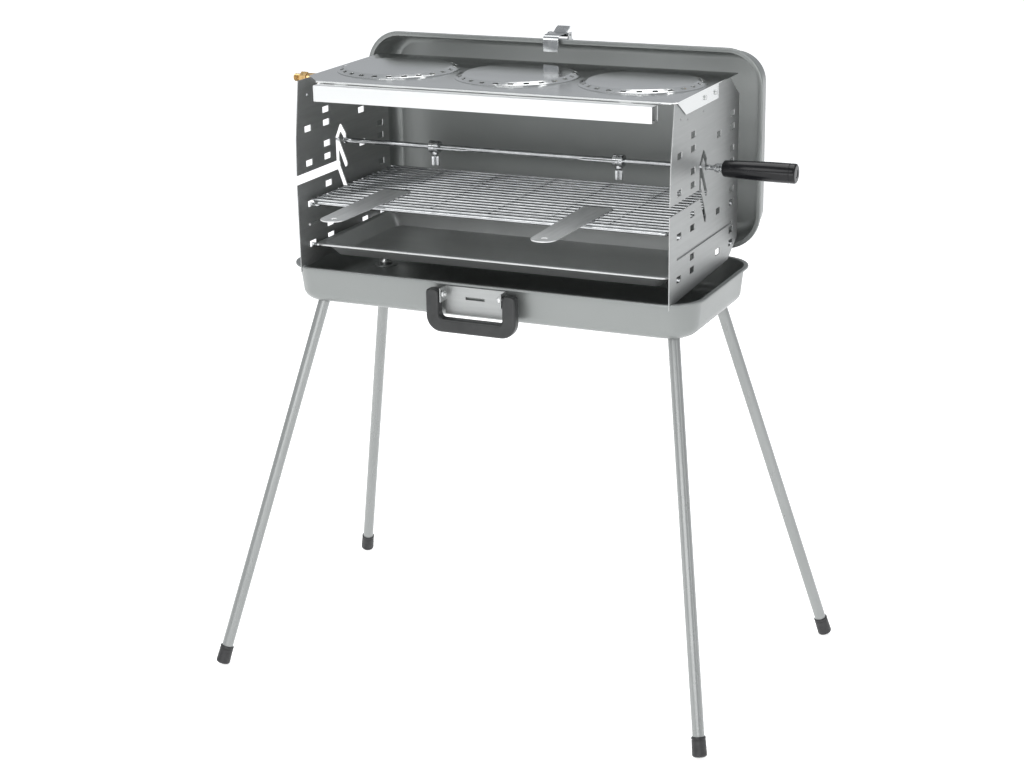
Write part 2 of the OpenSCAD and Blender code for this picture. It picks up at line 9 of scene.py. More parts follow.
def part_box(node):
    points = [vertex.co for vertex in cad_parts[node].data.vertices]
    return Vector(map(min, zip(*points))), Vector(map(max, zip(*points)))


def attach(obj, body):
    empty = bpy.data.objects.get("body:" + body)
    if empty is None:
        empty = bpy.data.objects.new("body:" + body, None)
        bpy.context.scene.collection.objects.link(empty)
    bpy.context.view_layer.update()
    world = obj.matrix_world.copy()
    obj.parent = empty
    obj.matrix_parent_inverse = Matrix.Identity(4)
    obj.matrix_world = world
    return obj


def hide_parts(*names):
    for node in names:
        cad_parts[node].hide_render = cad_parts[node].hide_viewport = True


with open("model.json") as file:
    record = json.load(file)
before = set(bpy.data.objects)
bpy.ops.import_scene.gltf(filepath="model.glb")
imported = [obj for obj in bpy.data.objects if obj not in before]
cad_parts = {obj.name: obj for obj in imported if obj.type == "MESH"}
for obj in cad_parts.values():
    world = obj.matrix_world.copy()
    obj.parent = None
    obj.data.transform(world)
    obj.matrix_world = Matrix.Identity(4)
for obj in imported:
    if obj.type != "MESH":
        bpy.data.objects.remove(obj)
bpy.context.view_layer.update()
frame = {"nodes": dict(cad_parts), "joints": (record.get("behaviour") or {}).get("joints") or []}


# ---------------------------------------------------------------- studio
# A white floor that runs out of sight, a large soft key light from the left, one overhead, a faint strip on
# the right for the long highlights, and a low one in front that reaches into the rack. The camera stands in
# front, to the right.
def camera_at(place, azimuth, elevation, roll, lens):
    """Adds the camera: azimuth turns from +Y to -X, elevation looks down, roll is about the view."""
    az, el, turn = (math.radians(a) for a in (azimuth, elevation, roll))
    ahead = Vector((-math.sin(az) * math.cos(el), math.cos(az) * math.cos(el), -math.sin(el)))
    right = Vector((math.cos(az), math.sin(az), 0))
    up = right.cross(ahead)
    side = right * math.cos(turn) + up * math.sin(turn)
    top = up * math.cos(turn) - right * math.sin(turn)
    camera = bpy.data.objects.new("camera", bpy.data.cameras.new("camera"))
    camera.data.lens = lens
    camera.data.sensor_width = 36
    camera.matrix_world = Matrix.Translation(place) @ Matrix((side, top, -ahead)).transposed().to_4x4()
    bpy.context.scene.collection.objects.link(camera)
    bpy.context.scene.camera = camera


camera_at((1.0341, -2.2674, 1.1903), azimuth=24.81, elevation=18.11, roll=-1.03, lens=70.35)


def soft_light(name, place, target, size, power):
    light = bpy.data.objects.new(name, bpy.data.lights.new(name, "AREA"))
    light.data.shape = "RECTANGLE"
    light.data.size, light.data.size_y = size
    light.data.energy = power
    light.location = place
    light.rotation_euler = (Vector(target) - Vector(place)).to_track_quat("-Z", "Y").to_euler()
    bpy.context.scene.collection.objects.link(light)


case_middle = (0, 0, 0.6)
soft_light("key_light", (-1.5, -2.4, 2.4), case_middle, (2.2, 1.6), 30)
soft_light("top_light", (0.2, 0.3, 2.9), case_middle, (2.6, 2.0), 40)
soft_light("strip_light", (2.6, -0.9, 1.3), case_middle, (0.5, 2.2), 7)
soft_light("low_front_light", (0.5, -2.6, 0.7), case_middle, (2.4, 0.9), 19)

world = bpy.data.worlds.new("studio")
world.use_nodes = True
world.node_tree.nodes["Background"].inputs["Color"].default_value = (0.93, 0.96, 1.0, 1)
world.node_tree.nodes["Background"].inputs["Strength"].default_value = 0.5
bpy.context.scene.world = world
bpy.context.scene.view_settings.view_transform = "Standard"


def new_finish(name, color, metallic=0.0, roughness=0.5, **sockets):
    """A finish whose constants sit on the shader itself; patterns are added to it afterwards."""
    finish = bpy.data.materials.new(name)
    finish.use_nodes = True
    shader = finish.node_tree.nodes["Principled BSDF"]
    shader.inputs["Base Color"].default_value = (*color, 1)
    shader.inputs["Metallic"].default_value = metallic
    shader.inputs["Roughness"].default_value = roughness
    for socket, value in sockets.items():
        shader.inputs[socket.replace("_", " ")].default_value = value
    return finish


def pattern(finish, kind, scale, stretch=(1, 1, 1), output=0, **settings):
    """A texture in the piece's own metres, squeezed by stretch; returns its output socket."""
    tree = finish.node_tree
    place = tree.nodes.new("ShaderNodeTexCoord")
    sizing = tree.nodes.new("ShaderNodeMapping")
    sizing.inputs["Scale"].default_value = stretch
    texture = tree.nodes.new("ShaderNodeTex" + kind)
    texture.inputs["Scale"].default_value = scale
    for socket, value in settings.items():
        texture.inputs[socket].default_value = value
    tree.links.new(place.outputs["Object"], sizing.inputs["Vector"])
    tree.links.new(sizing.outputs["Vector"], texture.inputs["Vector"])
    return texture.outputs[output]


def tint(finish, factor, *stops):
    """Colours the finish from the pattern: each stop is (place, colour)."""
    tree = finish.node_tree
    ramp = tree.nodes.new("ShaderNodeValToRGB")
    while len(ramp.color_ramp.elements) < len(stops):
        ramp.color_ramp.elements.new(1.0)
    for element, (place, color) in zip(ramp.color_ramp.elements, stops):
        element.position = place
        element.color = (*color, 1)
    tree.links.new(factor, ramp.inputs["Fac"])
    tree.links.new(ramp.outputs["Color"], tree.nodes["Principled BSDF"].inputs["Base Color"])


def roughen(finish, factor, low, high):
    """Runs the roughness from low to high with the pattern."""
    tree = finish.node_tree
    span = tree.nodes.new("ShaderNodeMapRange")
    span.inputs["To Min"].default_value = low
    span.inputs["To Max"].default_value = high
    tree.links.new(factor, span.inputs["Value"])
    tree.links.new(span.outputs["Result"], tree.nodes["Principled BSDF"].inputs["Roughness"])


def relief(finish, height, depth, strength=1.0):
    """Presses the pattern into the surface, depth in metres, on top of any relief that is there."""
    tree = finish.node_tree
    shader = tree.nodes["Principled BSDF"]
    bump = tree.nodes.new("ShaderNodeBump")
    bump.inputs["Distance"].default_value = depth
    bump.inputs["Strength"].default_value = strength
    if shader.inputs["Normal"].is_linked:
        tree.links.new(shader.inputs["Normal"].links[0].from_socket, bump.inputs["Normal"])
    tree.links.new(height, bump.inputs["Height"])
    tree.links.new(bump.outputs["Normal"], shader.inputs["Normal"])


floor_paint = new_finish("studio_floor", (0.9, 0.9, 0.9), roughness=0.9, Emission_Color=(1, 1, 1, 1),
                         Emission_Strength=0.7)
tint(floor_paint, pattern(floor_paint, "Noise", 1.2, Detail=1.0), (0.3, (0.9, 0.9, 0.9)),
     (0.7, (0.92, 0.92, 0.92)))
floor_half = 14
floor_mesh = bpy.data.meshes.new("floor")
floor_mesh.from_pydata([(x * floor_half, y * floor_half, -0.0005) for x,
                        y in ((-1, -1), (1, -1), (1, 1), (-1, 1))],
                       [], [(0, 1, 2, 3)])
floor_mesh.materials.append(floor_paint)
floor = bpy.data.objects.new("floor", floor_mesh)
bpy.context.scene.collection.objects.link(floor)


# ---------------------------------------------------------------- base tub
# Deep-drawn steel tub with a round floor edge, walls that lean in a little and a lip turned out and down
# round its rim. It is sprayed in a satin silver-grey stove paint. Four low pads stand round the leg bushes.
def outline(half_x, half_y, radius, steps=14):
    """Points of a rectangle with round corners about the middle, anticlockwise."""
    points = []
    for corner, (sx, sy) in enumerate(((1, 1), (-1, 1), (-1, -1), (1, -1))):
        for i in range(steps + 1):
            angle = math.radians(90 * (corner + i / steps))
            points.append((sx * (half_x - radius) + radius * math.cos(angle),
                           sy * (half_y - radius) + radius * math.sin(angle)))
    return points


def bend(middle_a, middle_b, radius, start, end, steps=6):
    """Points of an arc, angles in degrees."""
    angles = [math.radians(start + (end - start) * i / steps) for i in range(steps + 1)]
    return [(middle_a + radius * math.cos(a), middle_b + radius * math.sin(a)) for a in angles]


def loft(rings, loop=False):
    """Skin over rings of equal length. The ends are capped, or joined to each other for a loop."""
    count = len(rings[0])
    verts = [Vector(p) for ring in rings for p in ring]
    pairs = [(i, i + 1) for i in range(len(rings) - 1)] + ([(len(rings) - 1, 0)] if loop else [])
    faces = [(a * count + k, a * count + (k + 1) % count, b * count + (k + 1) % count, b * count + k)
             for a, b in pairs for k in range(count)]
    if not loop:
        last = (len(rings) - 1) * count
        faces += [tuple(range(count))[::-1], tuple(last + k for k in range(count))]
    return verts, faces


def joined(*shapes):
    """Several closed shapes as one."""
    verts, faces = [], []
    for shape_verts, shape_faces in shapes:
        start = len(verts)
        verts += shape_verts
        faces += [tuple(start + k for k in face) for face in shape_faces]
    return verts, faces


def finish_mesh(mesh, crease):
    """Welds, turns all faces outwards and keeps edges sharper than crease degrees."""
    work = bmesh.new()
    work.from_mesh(mesh)
    bmesh.ops.remove_doubles(work, verts=work.verts, dist=2e-6)
    bmesh.ops.dissolve_degenerate(work, edges=work.edges, dist=1e-6)
    bmesh.ops.recalc_face_normals(work, faces=work.faces)
    for face in work.faces:
        face.smooth = True
    for edge in work.edges:
        edge.smooth = not (edge.is_manifold and edge.calc_face_angle() > math.radians(crease))
    work.to_mesh(mesh)
    work.free()


def level_normals(piece):
    """Lets the large faces set the shading of the small ones beside them, so that flat sheet looks flat."""
    weighted = piece.modifiers.new("level_normals", "WEIGHTED_NORMAL")
    weighted.keep_sharp = True
    weighted.weight = 100


def add_piece(name, shape, body, finish, stands_for, crease=38):
    """Adds a piece that moves with a body and stands for the named nodes of the frame."""
    mesh = bpy.data.meshes.new(name)
    mesh.from_pydata(shape[0], [], shape[1])
    finish_mesh(mesh, crease)
    mesh.materials.append(finish)
    piece = bpy.data.objects.new(name, mesh)
    bpy.context.scene.collection.objects.link(piece)
    level_normals(piece)
    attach(piece, body)
    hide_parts(*stands_for)
    return piece


LIP_WIDTH = 0.005
LIP_DROP = 0.0024
SHEET = 0.001
CASE_CORNER = 0.048
WALL_LEAN = 0.004
FLOOR_EDGE = 0.014


def pressed_shell(half_x, half_y, depth):
    """Rings of a pressed tub with its rim at height 0 and its floor at -depth, as (x, y, height)."""
    foot = LIP_WIDTH + WALL_LEAN
    profile = [(foot + FLOOR_EDGE - a, b) for a, b in bend(0, FLOOR_EDGE - depth, FLOOR_EDGE, -90, 0, 8)]
    profile += [(LIP_WIDTH + 0.0006, -0.0045), (LIP_WIDTH - 0.0002, -SHEET - 0.0006)]
    profile += [(LIP_WIDTH - 0.0012, -SHEET), (0.0014, -SHEET), (0.0010, -SHEET - 0.0004),
                (0.0010, -LIP_DROP)]
    profile += [(0.0005, -LIP_DROP - 0.0002), (0, -LIP_DROP), (0, -0.0012), (0.0004, -0.0003),
                (0.0012, 0)]
    profile += [(LIP_WIDTH - 0.0006, 0), (LIP_WIDTH + 0.0008, -0.0005),
                (LIP_WIDTH + SHEET + 0.0004, -0.0022)]
    inner = FLOOR_EDGE - SHEET
    profile += [(foot + FLOOR_EDGE - a, b) for a, b in bend(0, FLOOR_EDGE - depth, inner, 0, -90, 8)]
    return [[(x, y, height) for x, y in outline(half_x - inset, half_y - inset, CASE_CORNER - inset)]
            for inset, height in profile]


shell_paint = new_finish("silver_grey_stove_paint", (0.235, 0.246, 0.24), metallic=0.5, roughness=0.36,
                         Coat_Weight=0.12, Coat_Roughness=0.25)
flow = pattern(shell_paint, "Noise", 5.0, Detail=3.0)
tint(shell_paint, flow, (0.3, (0.226, 0.237, 0.231)), (0.7, (0.244, 0.255, 0.249)))
roughen(shell_paint, pattern(shell_paint, "Noise", 18.0, Detail=4.0), 0.3, 0.42)
relief(shell_paint, pattern(shell_paint, "Noise", 900.0, Detail=2.0), 0.00004, 0.5)
relief(shell_paint, pattern(shell_paint, "Noise", 9.0, Detail=1.0), 0.0006, 0.2)

tub_low, tub_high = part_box("base_shell")
tub_depth = tub_high.z - tub_low.z
tub_rings = [[(x, y, tub_high.z + z) for x, y, z in ring]
             for ring in pressed_shell(tub_high.x, tub_high.y, tub_depth)]


def placed(origin, axis):
    """Matrix that carries +Z onto the axis and 0 onto the origin."""
    turn = Vector(axis).to_track_quat("Z", "Y").to_matrix().to_4x4()
    return Matrix.Translation(origin) @ turn


def lathe(profile, matrix=Matrix(), steps=40, loop=False, flutes=0, flute_depth=0.0, flute_above=0.0):
    """Turned shape from (along, radius) points; flutes are cut where the radius is over flute_above."""
    rings = []
    for along, radius in profile:
        ring = []
        for k in range(steps):
            angle = 2 * math.pi * k / steps
            cut = flute_depth * (0.5 - 0.5 * math.cos(flutes * angle)) if radius > flute_above else 0
            ring.append(matrix @ Vector(((radius - cut) * math.cos(angle),
                                         (radius - cut) * math.sin(angle), along)))
        rings.append(ring)
    return loft(rings, loop)


leg_joints = {j["child"][-2:]: j for j in frame["joints"] if j["name"].startswith("leg_")}
PAD_PROFILE = [(-0.0008, 0.0005), (-0.0008, 0.0165), (0.0004, 0.0165), (0.0010, 0.0155), (0.0016, 0.0140),
               (0.0018, 0.0125), (0.0018, 0.009), (0.0014, 0.0076), (0.0014, 0.0005)]
leg_pads = [lathe(PAD_PROFILE, Matrix.Translation((j["pos_m"][0], j["pos_m"][1], tub_low.z + SHEET)))
            for j in leg_joints.values()]
add_piece("base_tub", joined(loft(tub_rings), *leg_pads), "base", shell_paint,
          ["base_shell"])

# ---------------------------------------------------------------- leg bushes
# Turned steel bushes with a dome head inside the tub, pressed through its floor at the slant of each leg.
# Zinc plated, so they carry the mottled bloom of the plating.
zinc = new_finish("zinc_plate", (0.6, 0.61, 0.6), metallic=1.0, roughness=0.34)
tint(zinc, pattern(zinc, "Voronoi", 160.0, Randomness=1.0), (0.1, (0.5, 0.51, 0.51)),
     (0.8, (0.7, 0.71, 0.7)))
roughen(zinc, pattern(zinc, "Noise", 120.0, Detail=3.0), 0.26, 0.44)
relief(zinc, pattern(zinc, "Noise", 1400.0, Detail=2.0), 0.00003, 0.5)

STUD_RADIUS = 0.004
BUSH_RADIUS = 0.0074
bush_profile = [(-0.0070, STUD_RADIUS), (-0.0070, 0), (-0.0120, 0), (-0.0120, 0.0034), (-0.0114, 0.0046),
                (-0.0104, 0.0056), (-0.0092, 0.0064), (-0.0084, BUSH_RADIUS), (0.0026, BUSH_RADIUS),
                (0.0038, BUSH_RADIUS - 0.001), (0.0038, STUD_RADIUS + 0.0006), (0.0030, STUD_RADIUS)]
bushes = [lathe(bush_profile, placed(j["pos_m"], -Vector(j["axis"])), loop=True)
          for j in leg_joints.values()]
add_piece("leg_bushes_domed", joined(*bushes), "base", zinc, ["leg_bushes"])

# ---------------------------------------------------------------- screw-in legs
# Each leg is a plain steel tube in light grey gloss paint, with a threaded plug pressed into its top end
# and a black moulded cap pushed over its foot.
leg_paint = new_finish("light_grey_gloss_paint", (0.27, 0.279, 0.274), metallic=0.35, roughness=0.28,
                       Coat_Weight=0.4, Coat_Roughness=0.12)
tint(leg_paint, pattern(leg_paint, "Noise", 30.0, (1, 1, 0.2), Detail=4.0),
     (0.3, (0.26, 0.269, 0.264)), (0.7, (0.28, 0.289, 0.284)))
roughen(leg_paint, pattern(leg_paint, "Noise", 60.0, (1, 1, 0.3), Detail=3.0), 0.25, 0.31)
relief(leg_paint, pattern(leg_paint, "Noise", 1100.0, Detail=1.0), 0.00003, 0.4)

cap_plastic = new_finish("black_cap_plastic", (0.018, 0.018, 0.019), roughness=0.4,
                         Specular_IOR_Level=0.5)
tint(cap_plastic, pattern(cap_plastic, "Noise", 140.0, Detail=4.0), (0.3, (0.012, 0.012, 0.013)),
     (0.75, (0.03, 0.03, 0.031)))
roughen(cap_plastic, pattern(cap_plastic, "Noise", 260.0, Detail=3.0), 0.32, 0.55)
relief(cap_plastic, pattern(cap_plastic, "Voronoi", 1600.0), 0.00004, 0.5)

TUBE_RADIUS = 0.0075
TUBE_WALL = 0.001
CAP_RADIUS = 0.00925
CAP_HEIGHT = 0.025
CAP_EDGE = 0.003
TUBE_TOP = 0.00406


def cap_profile():
    """Half outline of a foot cap, from the ground up the leg: rounded foot, mould line, top bead."""
    outer = [(b, a) for a, b in bend(CAP_RADIUS - CAP_EDGE, CAP_EDGE, CAP_EDGE, -90, 0, 8)]
    mould_line = [(0.0108, CAP_RADIUS - 0.0002), (0.0111, CAP_RADIUS), (0.0114, CAP_RADIUS - 0.0002)]
    neck = [(0.0205, CAP_RADIUS - 0.0004), (0.0208, CAP_RADIUS - 0.0008), (0.0216, CAP_RADIUS - 0.0008)]
    bead = [(0.0220, CAP_RADIUS - 0.0003), (0.0240, CAP_RADIUS - 0.0003), (0.0248, CAP_RADIUS - 0.0008)]
    socket = [(CAP_HEIGHT, TUBE_RADIUS + 0.0004), (CAP_HEIGHT - 0.0004, TUBE_RADIUS),
              (0.003, TUBE_RADIUS), (0.003, 0)]
    return [(0.0004, 0), (0.0004, 0.0035), (0, 0.0042)] + outer + mould_line + neck + bead + socket


def thread(start, end, radius, pitch=0.00125, depth=0.0004):
    """Points of a V thread drawn as rings, from start to end along the axis."""
    turns = int((end - start) / pitch)
    points = []
    for k in range(turns):
        points += [(start + k * pitch, radius - depth), (start + (k + 0.5) * pitch, radius)]
    return points + [(end, radius - depth)]


for corner, joint in leg_joints.items():
    top, down = Vector(joint["pos_m"]), -Vector(joint["axis"])
    lean = math.acos(-down.z)
    foot_height = CAP_EDGE * (1 - math.cos(lean)) + (CAP_RADIUS - CAP_EDGE) * math.sin(lean)
    length = (top.z - foot_height) / math.cos(lean)
    along_leg, up_leg = placed(top, down), placed(top + down * length, -down)
    tube_profile = [(TUBE_TOP, TUBE_RADIUS - TUBE_WALL), (TUBE_TOP, TUBE_RADIUS - 0.0007),
                    (TUBE_TOP + 0.0007, TUBE_RADIUS - 0.0001), (TUBE_TOP + 0.002, TUBE_RADIUS),
                    (length - 0.0034, TUBE_RADIUS), (length - 0.0031, TUBE_RADIUS - 0.0003),
                    (length - 0.0031, TUBE_RADIUS - TUBE_WALL)]
    body = "leg_" + corner
    add_piece(body + "_painted_tube", lathe(tube_profile, along_leg, 48, loop=True), body,
              leg_paint,
              ["leg_tube_" + corner])
    stud_profile = [(-0.006, 0), (-0.006, 0.0028)] + thread(-0.0056, 0.0036, STUD_RADIUS) + [
        (0.0038, TUBE_RADIUS - 0.0035), (0.00416, TUBE_RADIUS - 0.0014),
        (0.0048, TUBE_RADIUS - TUBE_WALL - 0.00002),
        (0.0220, TUBE_RADIUS - TUBE_WALL - 0.00002), (0.0220, 0)]
    add_piece(body + "_threaded_plug", lathe(stud_profile, along_leg, 32), body, zinc,
              ["leg_stud_" + corner])
    add_piece(body + "_foot_cap", lathe(cap_profile(), up_leg, 48), body, cap_plastic,
              ["leg_cap_" + corner])

# ---------------------------------------------------------------- carry handle
# A folded steel bracket sits on the front wall. Two pivot screws hold a moulded black handle in it, whose
# arms run round into a grip of the same thickness.
plate_steel = new_finish("rolled_sheet_steel", (0.36, 0.369, 0.364), metallic=0.8, roughness=0.42)
rolling = pattern(plate_steel, "Noise", 14.0, (1, 1, 22), Detail=6.0)
tint(plate_steel, rolling, (0.3, (0.345, 0.353, 0.349)), (0.7, (0.38, 0.388, 0.384)))
roughen(plate_steel, pattern(plate_steel, "Noise", 26.0, (1, 1, 14), Detail=5.0), 0.38, 0.46)
relief(plate_steel, pattern(plate_steel, "Noise", 60.0, (1, 1, 25), Detail=4.0), 0.00003, 0.25)


def eased(name, node, width, body, finish, segments=2, crease=38):
    """A sheet-metal piece as the frame has it, with its edges broken by a small round."""
    mesh = frame["nodes"][node].data.copy()
    mesh.name = name
    mesh.materials.clear()
    work = bmesh.new()
    work.from_mesh(mesh)
    bmesh.ops.remove_doubles(work, verts=work.verts, dist=2e-6)
    bmesh.ops.dissolve_degenerate(work, edges=work.edges, dist=1e-6)
    bmesh.ops.dissolve_limit(work, angle_limit=math.radians(0.4), verts=work.verts, edges=work.edges)
    sharp = [e for e in work.edges if e.is_manifold and e.calc_face_angle() > math.radians(crease)]
    bmesh.ops.bevel(work, geom=sharp, offset=width, segments=segments, profile=0.5, affect="EDGES",
                    clamp_overlap=True)
    work.to_mesh(mesh)
    work.free()
    finish_mesh(mesh, crease)
    mesh.materials.append(finish)
    piece = bpy.data.objects.new(name, mesh)
    bpy.context.scene.collection.objects.link(piece)
    level_normals(piece)
    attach(piece, body)
    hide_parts(node)
    return piece


eased("handle_bracket_folded", "handle_bracket", 0.0003, "base", plate_steel)

handle_joint = next(j for j in frame["joints"] if j["name"] == "carry_handle_swing")
handle_pivot = Vector(handle_joint["pos_m"])
bracket_low, bracket_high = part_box("handle_bracket")
bracket_half = (bracket_high.x - bracket_low.x) / 2
PIVOT_RADIUS = 0.0025
pivot_profile = [(-0.010, 0), (-0.010, 0.0018), (-0.0094, PIVOT_RADIUS), (-0.008, PIVOT_RADIUS),
                 (-0.008, 0.0038),
                 (-0.0074, 0.0044), (-0.0058, 0.0045), (-0.005, 0.0041), (-0.005, PIVOT_RADIUS),
                 (0.0088, PIVOT_RADIUS), (0.009, 0.0020), (0.009, 0)]
pivots = [lathe(pivot_profile, placed(handle_pivot + Vector((side * (bracket_half + 0.003), 0, 0)),
                                      (side, 0, 0)), 24)
          for side in (-1, 1)]
add_piece("handle_pivot_screws", joined(*pivots), "base", zinc, ["handle_pivots"])

handle_plastic = new_finish("black_handle_plastic", (0.02, 0.021, 0.022), roughness=0.36,
                            Specular_IOR_Level=0.5)
tint(handle_plastic, pattern(handle_plastic, "Noise", 70.0, Detail=5.0), (0.3, (0.010, 0.011, 0.011)),
     (0.75, (0.022, 0.023, 0.023)))
roughen(handle_plastic, pattern(handle_plastic, "Noise", 160.0, Detail=4.0), 0.28, 0.48)
relief(handle_plastic, pattern(handle_plastic, "Voronoi", 1300.0), 0.00005, 0.45)


def section(middle, half_a, half_b, radius, steps=4):
    """Ring of a rectangle with round corners, spanned by two half-width vectors about its middle."""
    a, b = Vector(half_a), Vector(half_b)
    points = outline(a.length, b.length, min(radius, 0.98 * a.length, 0.98 * b.length), steps)
    return [Vector(middle) + a.normalized() * p + b.normalized() * q for p, q in points]


handle_low, handle_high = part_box("carry_handle")
handle_half = (handle_high.x - handle_low.x) / 2
ARM_WIDTH = 0.018
OUTER_BEND = 0.020
INNER_BEND = 0.006
GRIP_WIDTH = 0.018
GRIP_FLAT = 0.018
HANDLE_EDGE = 0.0036
handle_depth = handle_high.y - handle_low.y
arm_top = handle_high.z - handle_pivot.z
grip_bottom = handle_low.z - handle_pivot.z
inner_half = handle_half - ARM_WIDTH


def handle_ribs():
    """Pairs of outer and inner points down the left arm, round its bend and to the middle of the grip."""
    ribs = []
    for inset, drop in ((0.0034, 0.0), (0.0014, 0.0010), (0.0003, 0.0030), (0, 0.0060)):
        ribs.append(((-handle_half + inset, arm_top - drop), (-inner_half - inset, arm_top - drop)))
    for t in (0.35, 0.7):
        height = arm_top + (grip_bottom + OUTER_BEND - arm_top) * t
        ribs.append(((-handle_half, height), (-inner_half, height)))
    for i in range(13):
        angle = math.radians(7.5 * i)
        ribs.append(((-handle_half + OUTER_BEND * (1 - math.cos(angle)),
                      grip_bottom + OUTER_BEND * (1 - math.sin(angle))),
                     (-inner_half + INNER_BEND * (1 - math.cos(angle)),
                      grip_bottom + GRIP_WIDTH + INNER_BEND * (1 - math.sin(angle)))))
    return ribs + [((-GRIP_FLAT, grip_bottom), (-GRIP_FLAT, grip_bottom + GRIP_WIDTH))]


left_ribs = handle_ribs()
right_ribs = [((-o[0], o[1]), (-i[0], i[1])) for o, i in reversed(left_ribs)]
handle_rings = []
for (ox, oz), (ix, iz) in left_ribs + right_ribs:
    middle = handle_pivot + Vector(((ox + ix) / 2, 0, (oz + iz) / 2))
    middle.y = (handle_low.y + handle_high.y) / 2
    handle_rings.append(section(middle, ((ix - ox) / 2, 0, (iz - oz) / 2), (0, handle_depth / 2, 0),
                                HANDLE_EDGE))
add_piece("carry_handle_moulded", loft(handle_rings), "carry_handle", handle_plastic,
          ["carry_handle"], crease=60)

# ---------------------------------------------------------------- rear hinges
# Two butt hinges in bright sheet steel, with rolled knuckles on a plain steel pin, join the lid to the base.
eased("base_leaves", "base_hinge_leaves", 0.00025, "base", plate_steel)
eased("lid_leaves", "lid_hinge_leaves", 0.00025, "lid", plate_steel)
pin_low, pin_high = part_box("hinge_pins")
lid_joint = next(j for j in frame["joints"] if j["name"] == "lid_hinge")
PIN_RADIUS = 0.0015
pin_length = 0.052
pins = []
for start in (pin_low.x, pin_high.x - pin_length):
    profile = [(0, 0), (0, 0.0009), (0.0005, PIN_RADIUS), (pin_length - 0.0005, PIN_RADIUS),
               (pin_length, 0.0009), (pin_length, 0)]
    pins.append(lathe(profile, placed((start, lid_joint["pos_m"][1], lid_joint["pos_m"][2]), (1, 0, 0)),
                      20))
add_piece("hinge_pins_turned", joined(*pins), "base", zinc, ["hinge_pins"])

# ---------------------------------------------------------------- upright lid
# The lid is a second pressed tub in the same paint, with the same turned lip. It stands upright on its
# hinges behind the rack, with its open side to the front.
lid_low, lid_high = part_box("lid_shell")
lid_middle = (lid_low.z + lid_high.z) / 2
lid_rings = [[(x, lid_low.y - z, lid_middle + y) for x, y, z in ring]
             for ring in pressed_shell(lid_high.x, (lid_high.z - lid_low.z) / 2, lid_high.y - lid_low.y)]
add_piece("lid_tub", loft(lid_rings), "lid", shell_paint, ["lid_shell"])

# ---------------------------------------------------------------- lid latch
# A bright strip bent over the lid's rim hooks the closed case shut. It turns on a pin in a small folded
# bracket on the lid's top wall and has a turned-up thumb tab.
chrome = new_finish("bright_chrome", (0.46, 0.47, 0.475), metallic=1.0, roughness=0.14)
tint(chrome, pattern(chrome, "Noise", 90.0, Detail=3.0), (0.3, (0.4, 0.41, 0.415)),
     (0.7, (0.52, 0.53, 0.535)))
roughen(chrome, pattern(chrome, "Noise", 220.0, Detail=4.0), 0.08, 0.2)
relief(chrome, pattern(chrome, "Noise", 400.0, Detail=2.0), 0.00004, 0.3)

latch_joint = next(j for j in frame["joints"] if j["name"] == "latch_hinge")
latch_axis = Vector(latch_joint["pos_m"])
hook_low, hook_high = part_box("latch_hook")
HOOK_SHEET = 0.0015
HOOK_BARREL = 0.003
HOOK_BEND = 0.008
hook_reach = hook_low.y - latch_axis.y
hook_half = (hook_high.x - hook_low.x) / 2
mid = HOOK_SHEET / 2


def strip(path, half_width, sheet):
    """A strip of sheet bent along a path of (y, z) points, about the latch's axis."""
    rings = []
    for i, (y, z) in enumerate(path):
        before, after = path[max(i - 1, 0)], path[min(i + 1, len(path) - 1)]
        ahead = Vector((0, after[0] - before[0], after[1] - before[1])).normalized()
        across = Vector((0, -ahead.z, ahead.y)) * sheet / 2
        trim = 0.0006 if i in (0, len(path) - 1) else 0
        rings.append(section(latch_axis + Vector((0, y, z)), (half_width - trim, 0, 0), across,
                             sheet * 0.4, 2))
    return loft(rings)


bend_middle = (hook_reach + HOOK_BEND, HOOK_BARREL - HOOK_BEND)
hook_path = [(-0.0005, HOOK_BARREL - mid), (-0.008, HOOK_BARREL - mid), (-0.016, HOOK_BARREL - mid)]
hook_path += bend(*bend_middle, HOOK_BEND - mid, 90, 180, 10)
hook_path += [(hook_reach + mid, -0.012), (hook_reach + mid, -0.0185)]
tab_path = [(0.0012, 0.0022), (0.006, 0.0043), (0.011, 0.0068), (0.0148, 0.0086)]
barrel_profile = [(-hook_half, PIN_RADIUS + 0.00005), (-hook_half, HOOK_BARREL - 0.0004),
                  (-hook_half + 0.0004, HOOK_BARREL), (hook_half - 0.0004, HOOK_BARREL),
                  (hook_half, HOOK_BARREL - 0.0004), (hook_half, PIN_RADIUS + 0.00005)]
hook_barrel = lathe(barrel_profile, placed(latch_axis, (1, 0, 0)), 32, loop=True)
add_piece("latch_hook_bent", joined(strip(hook_path, hook_half, HOOK_SHEET),
                                    strip(tab_path, hook_half * 0.9, HOOK_SHEET),
                                    hook_barrel), "latch", chrome, ["latch_hook"])
eased("latch_bracket_folded", "latch_bracket", 0.0003, "lid", chrome)
latch_pin_low, latch_pin_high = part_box("latch_pin")
latch_pin_length = latch_pin_high.x - latch_pin_low.x
latch_pin_profile = [(0, 0), (0, 0.0010), (0.0004, PIN_RADIUS), (latch_pin_length - 0.0004, PIN_RADIUS),
                     (latch_pin_length, 0.0010), (latch_pin_length, 0)]
add_piece("latch_pin_turned", lathe(latch_pin_profile, placed((latch_pin_low.x, latch_axis.y,
                                                               latch_axis.z), (1, 0, 0)), 20),
          "lid", chrome, ["latch_pin"])

# ---------------------------------------------------------------- side plates
# Two flat plates punched from rolled stainless sheet: columns of oblong holes for the wire rails, a
# branched slot that ends in the hooked seat of the spit, and one rolled bead. Their cut edges are
# deburred, so they catch the light.
for side in ("left", "right"):
    eased("punched_plate_" + side, "side_plate_" + side, 0.0002, "rack", plate_steel)


